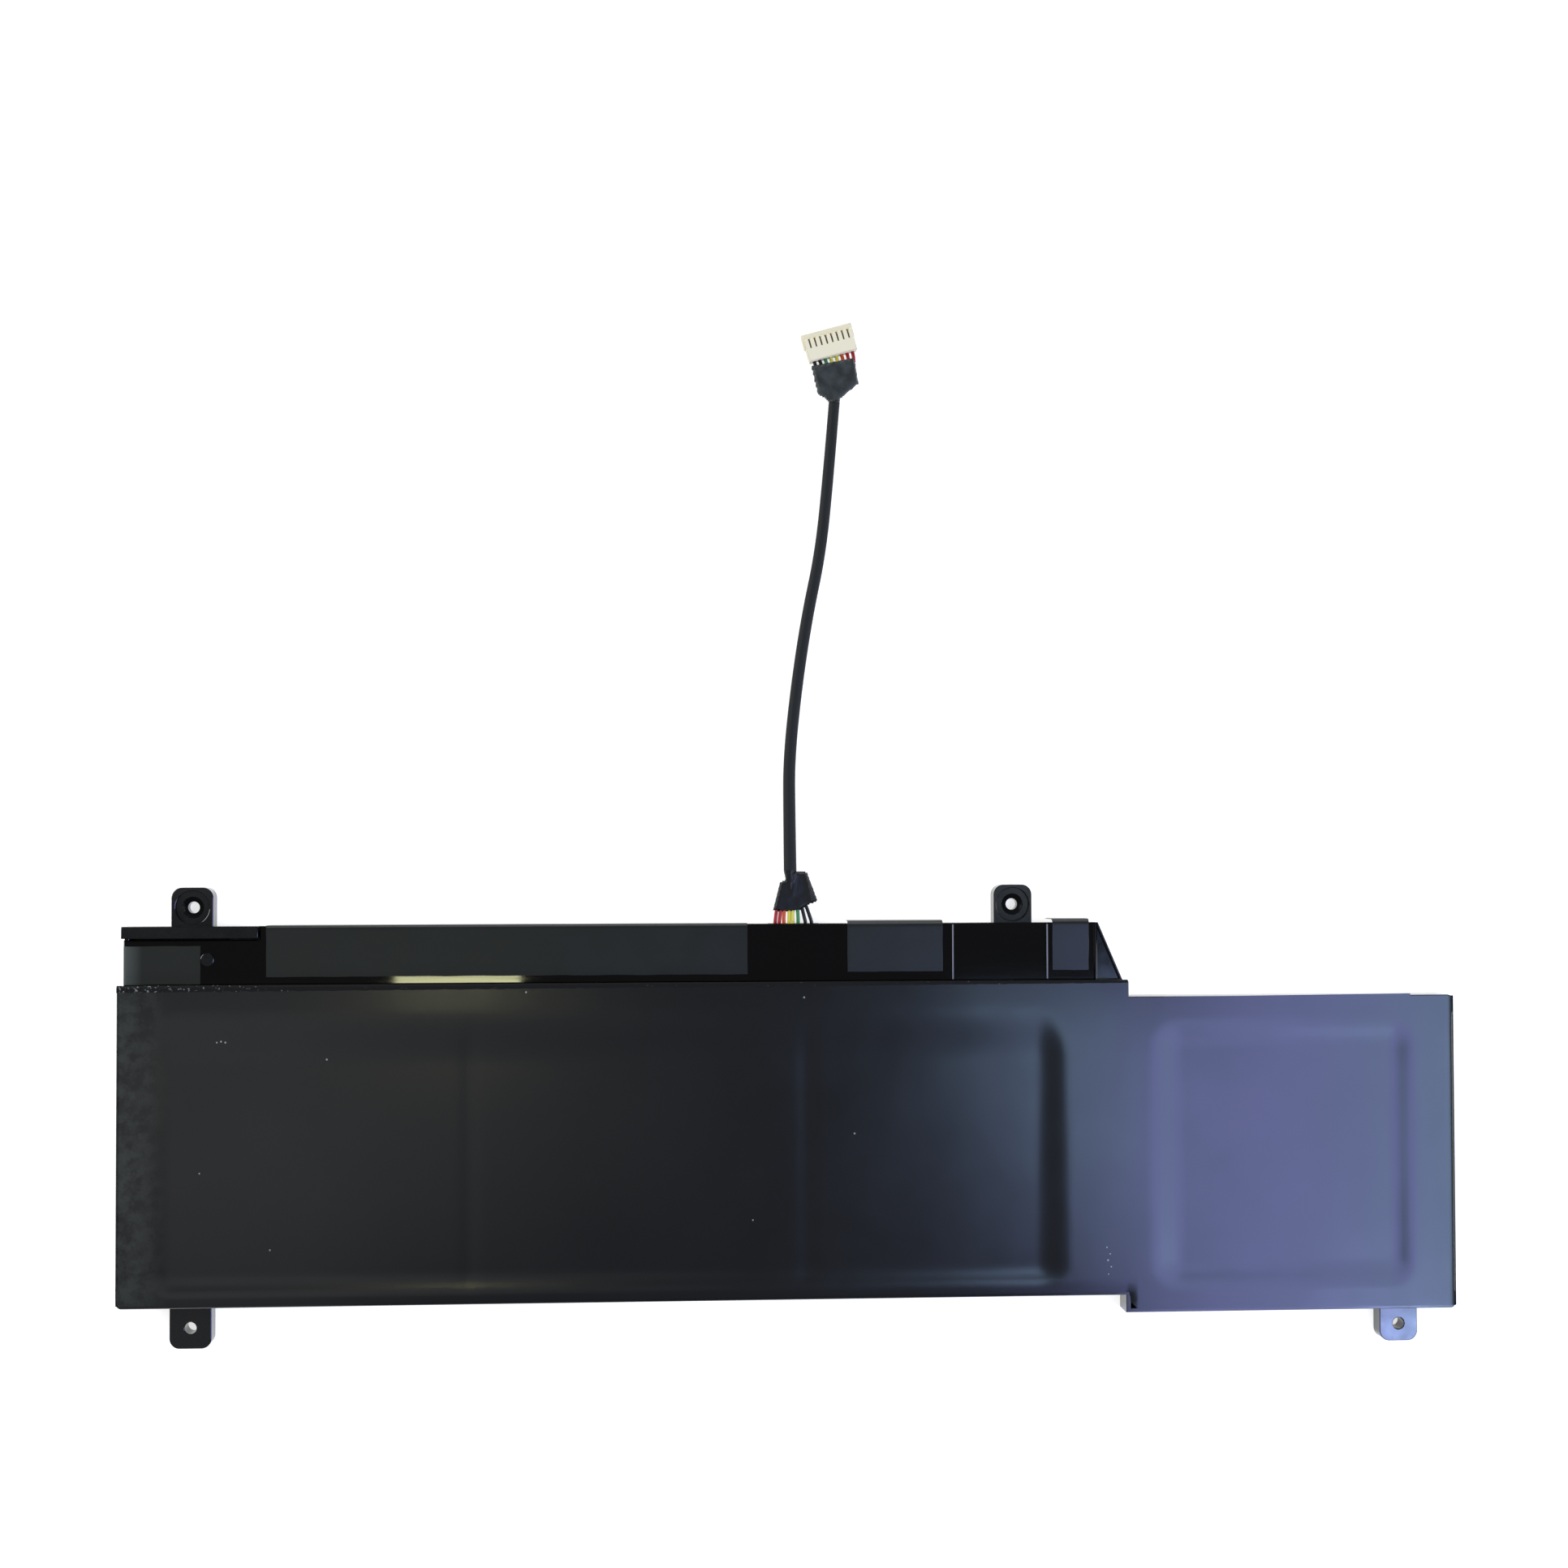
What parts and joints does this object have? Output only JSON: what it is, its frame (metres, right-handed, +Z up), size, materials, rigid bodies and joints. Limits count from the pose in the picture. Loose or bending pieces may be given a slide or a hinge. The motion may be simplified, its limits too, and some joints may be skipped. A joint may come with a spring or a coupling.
{
  "type": "laptop battery",
  "caption": "Flat stepped battery pack for a laptop: film-covered pouch cells in a moulded tray with a board rail, screw ears and a sleeved lead to a white plug.",
  "frame": {"origin": "middle of the pack's outline over the screw ears, on the tray's underside", "axes": "+X along the pack towards the single end cell, +Y towards the board rail and the lead, +Z up through the film"},
  "size_m": [0.29, 0.2247, 0.0069],
  "materials": {
    "tray_plastic": "moulded, satin",
    "cover_plastic": "moulded, polished",
    "film": "satin printed film",
    "board_laminate": "solder-masked laminate",
    "resistor_alloy": "rolled alloy",
    "capacitor_ceramic": "fired",
    "sleeve": "shrunk tube, matte",
    "wrap_tape": "cloth tape",
    "plug_nylon": "moulded nylon",
    "contact_metal": "tinned",
    "pad_adhesive": "double-sided sheet",
    "pouch_laminate": "embossed laminate, satin",
    "tab_aluminium": "rolled foil",
    "tab_nickel": "rolled nickel",
    "rail_tape": "cloth tape, matte",
    "chip_resin": "moulded resin",
    "lead_red": "extruded insulation",
    "lead_orange": "extruded insulation",
    "lead_yellow": "extruded insulation",
    "lead_green": "extruded insulation",
    "lead_black": "extruded insulation"
  },
  "bodies": {
    "root": {"board_capacitors": "capacitor_ceramic", "board_cover": "cover_plastic", "board_fuse": "chip_resin", "cell_1": "pouch_laminate", "cell_2": "pouch_laminate", "cell_3": "pouch_laminate", "cell_4": "pouch_laminate", "cell_pad_1": "pad_adhesive", "cell_pad_2": "pad_adhesive", "cell_pad_3": "pad_adhesive", "cell_pad_4": "pad_adhesive", "cell_tray": "tray_plastic", "charge_transistor": "chip_resin", "cover_film": "film", "discharge_transistor": "chip_resin", "gauge_chip": "chip_resin", "lead_black_1": "lead_black", "lead_black_2": "lead_black", "lead_green": "lead_green", "lead_orange": "lead_orange", "lead_red_1": "lead_red", "lead_red_2": "lead_red", "lead_sleeve": "sleeve", "lead_wrap": "wrap_tape", "lead_yellow_1": "lead_yellow", "lead_yellow_2": "lead_yellow", "plug_contacts": "contact_metal", "plug_housing": "plug_nylon", "plug_wrap": "wrap_tape", "protection_board": "board_laminate", "rail_tape_board": "rail_tape", "rail_tape_left": "rail_tape", "rail_tape_middle": "rail_tape", "rail_tape_right": "rail_tape", "sense_resistor": "resistor_alloy", "strip_negative": "tab_nickel", "strip_positive": "tab_nickel", "tab_negative_1": "tab_nickel", "tab_negative_2": "tab_nickel", "tab_negative_3": "tab_nickel", "tab_negative_4": "tab_nickel", "tab_positive_1": "tab_aluminium", "tab_positive_2": "tab_aluminium", "tab_positive_3": "tab_aluminium", "tab_positive_4": "tab_aluminium", "thermistor": "chip_resin"}
  },
  "joints": []
}
